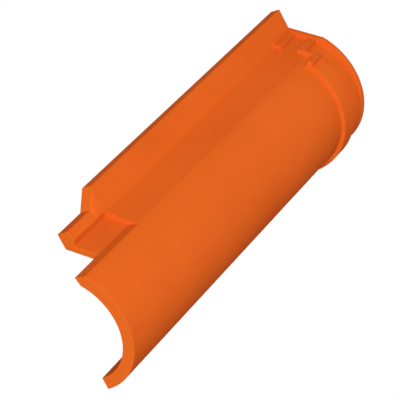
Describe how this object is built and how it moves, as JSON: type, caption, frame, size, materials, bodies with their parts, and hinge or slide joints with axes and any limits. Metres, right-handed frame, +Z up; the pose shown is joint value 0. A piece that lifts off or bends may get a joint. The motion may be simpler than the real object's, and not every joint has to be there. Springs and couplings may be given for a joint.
{
  "type": "clay verge tile",
  "caption": "Fired clay verge roof tile: a flat pan with a leaning flange on one side and a hollow half-round roll on the other, with a lapped end and a ringed end.",
  "frame": {"origin": "middle of the tile's outline on the floor it lies on, open side down", "axes": "+Y along the tile from its lapped end to its ringed end, +X from the flange to the roll, +Z up from the floor"},
  "size_m": [0.1738, 0.486, 0.0707],
  "materials": {
    "fired_clay": "matt unglazed orange fired clay"
  },
  "bodies": {
    "root": {"clay_tile": "fired_clay"}
  },
  "joints": []
}
